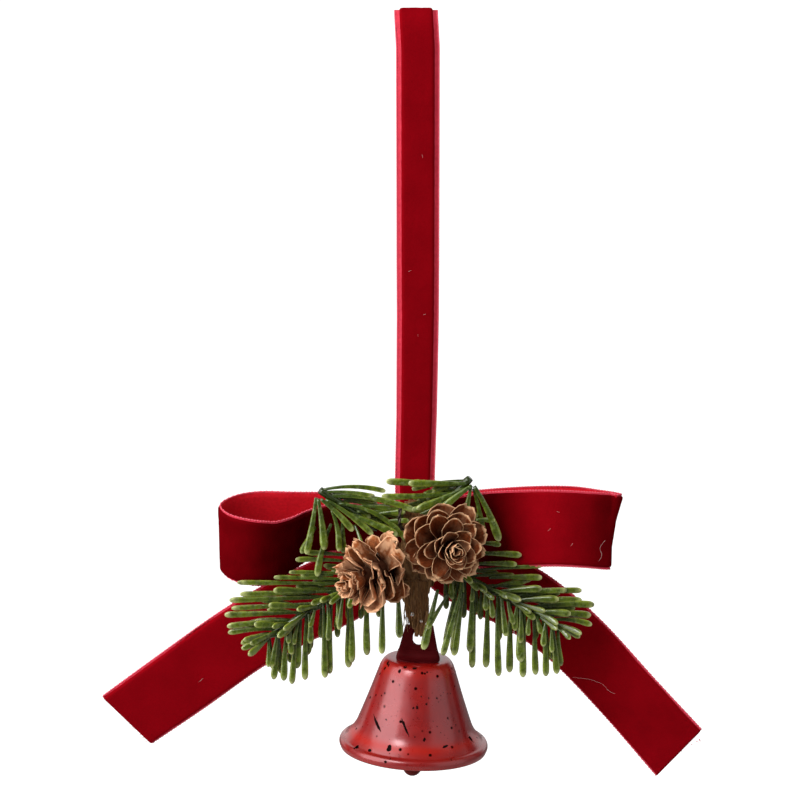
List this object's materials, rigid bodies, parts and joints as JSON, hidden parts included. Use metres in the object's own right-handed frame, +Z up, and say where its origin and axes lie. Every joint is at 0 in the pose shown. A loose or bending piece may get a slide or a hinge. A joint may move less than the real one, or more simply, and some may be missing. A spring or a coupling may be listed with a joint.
{
  "type": "christmas bell ornament",
  "caption": "Hanging ornament: a painted metal bell with a clapper under a velvet ribbon bow with fir sprigs and cones, on a ribbon loop.",
  "frame": {"origin": "the hang point: middle of the flat inner face of the hanging loop's crest, which rests on the hook or branch", "axes": "+Z up along the hanger, -Y towards the front (the side with the cones), +X to the right as seen from the front"},
  "size_m": [0.1554, 0.0461, 0.1963],
  "materials": {
    "hanger_velvet": "red velvet pile between woven selvedges with small picot loops",
    "bow_velvet": "deep red velvet pile outside, plain woven red back inside",
    "sprig_green": "moulded green polyethylene, semi-gloss, with lighter yellow-green tips",
    "stem_wire": "thin green coated wire",
    "binding_wire": "dark annealed florist's wire",
    "cone_brown": "dry brown cone scales with pale worn edges",
    "hot_glue": "set clear hot-melt glue",
    "tie_fibre": "matt brown fibre tape with ragged edges",
    "bell_paint": "satin red paint with small black specks and a few scratches",
    "lug_paint": "dark maroon satin paint",
    "clapper_metal": "plain steel wire",
    "clapper_paint": "dark red paint"
  },
  "bodies": {
    "hanger": {"hanging_loop": "hanger_velvet"},
    "bow": {"hanging_loop_ends": "hanger_velvet", "bow_loop_left": "bow_velvet", "bow_loop_right": "bow_velvet", "binding_wire": "binding_wire", "sprig_lower_left": "sprig_green", "sprig_lower_right": "sprig_green", "sprig_upper_left": "sprig_green", "sprig_upper_right": "sprig_green", "stem_wire_lower_left": "stem_wire", "stem_wire_lower_right": "stem_wire", "stem_wire_upper_left": "stem_wire", "stem_wire_upper_right": "stem_wire", "cone_left": "cone_brown", "cone_right": "cone_brown", "glue_pad_left": "hot_glue", "glue_pad_right": "hot_glue"},
    "tail_left": {"bow_tail_left": "bow_velvet"},
    "tail_right": {"bow_tail_right": "bow_velvet"},
    "tie": {"bell_tie": "tie_fibre"},
    "bell": {"bell_shell": "bell_paint", "bell_lug": "lug_paint", "crown_rivet": "lug_paint"},
    "link": {"clapper_link": "clapper_metal"},
    "clapper": {"clapper_rod": "clapper_metal", "clapper_ball": "clapper_paint"}
  },
  "joints": [
    {"name": "bow_sway", "type": "hinge", "parent": "hanger", "child": "bow", "pos_m": [0, 0.0066, -0.118], "axis": [1, 0, 0], "range_deg": [-45, 60], "stiffness_Nm_per_rad": 0.05},
    {"name": "tail_left_flap", "type": "hinge", "parent": "bow", "child": "tail_left", "pos_m": [-0.0042, 0.0028, -0.136], "axis": [0.5677, 0, -0.8232], "range_deg": [0, 22], "stiffness_Nm_per_rad": 0.002},
    {"name": "tail_right_flap", "type": "hinge", "parent": "bow", "child": "tail_right", "pos_m": [0.0042, 0.0024, -0.1356], "axis": [0.5425, 0, 0.84], "range_deg": [0, 22], "stiffness_Nm_per_rad": 0.002},
    {"name": "tie_swing", "type": "hinge", "parent": "bow", "child": "tie", "pos_m": [-0.0004, -0.0092, -0.1399], "axis": [1, 0, 0], "range_deg": [-10, 22]},
    {"name": "bell_swing", "type": "hinge", "parent": "tie", "child": "bell", "pos_m": [0.0009, -0.0092, -0.1529], "axis": [0, 1, 0], "range_deg": [-15, 15]},
    {"name": "clapper_link_swing", "type": "hinge", "parent": "bell", "child": "link", "pos_m": [0.00041, -0.0074, -0.16319], "axis": [0.9989, 0, -0.0471], "range_deg": [-20, 20]},
    {"name": "clapper_swing", "type": "hinge", "parent": "link", "child": "clapper", "pos_m": [0.00027, -0.0074, -0.16629], "axis": [0, 1, 0], "range_deg": [-35, 35]}
  ]
}
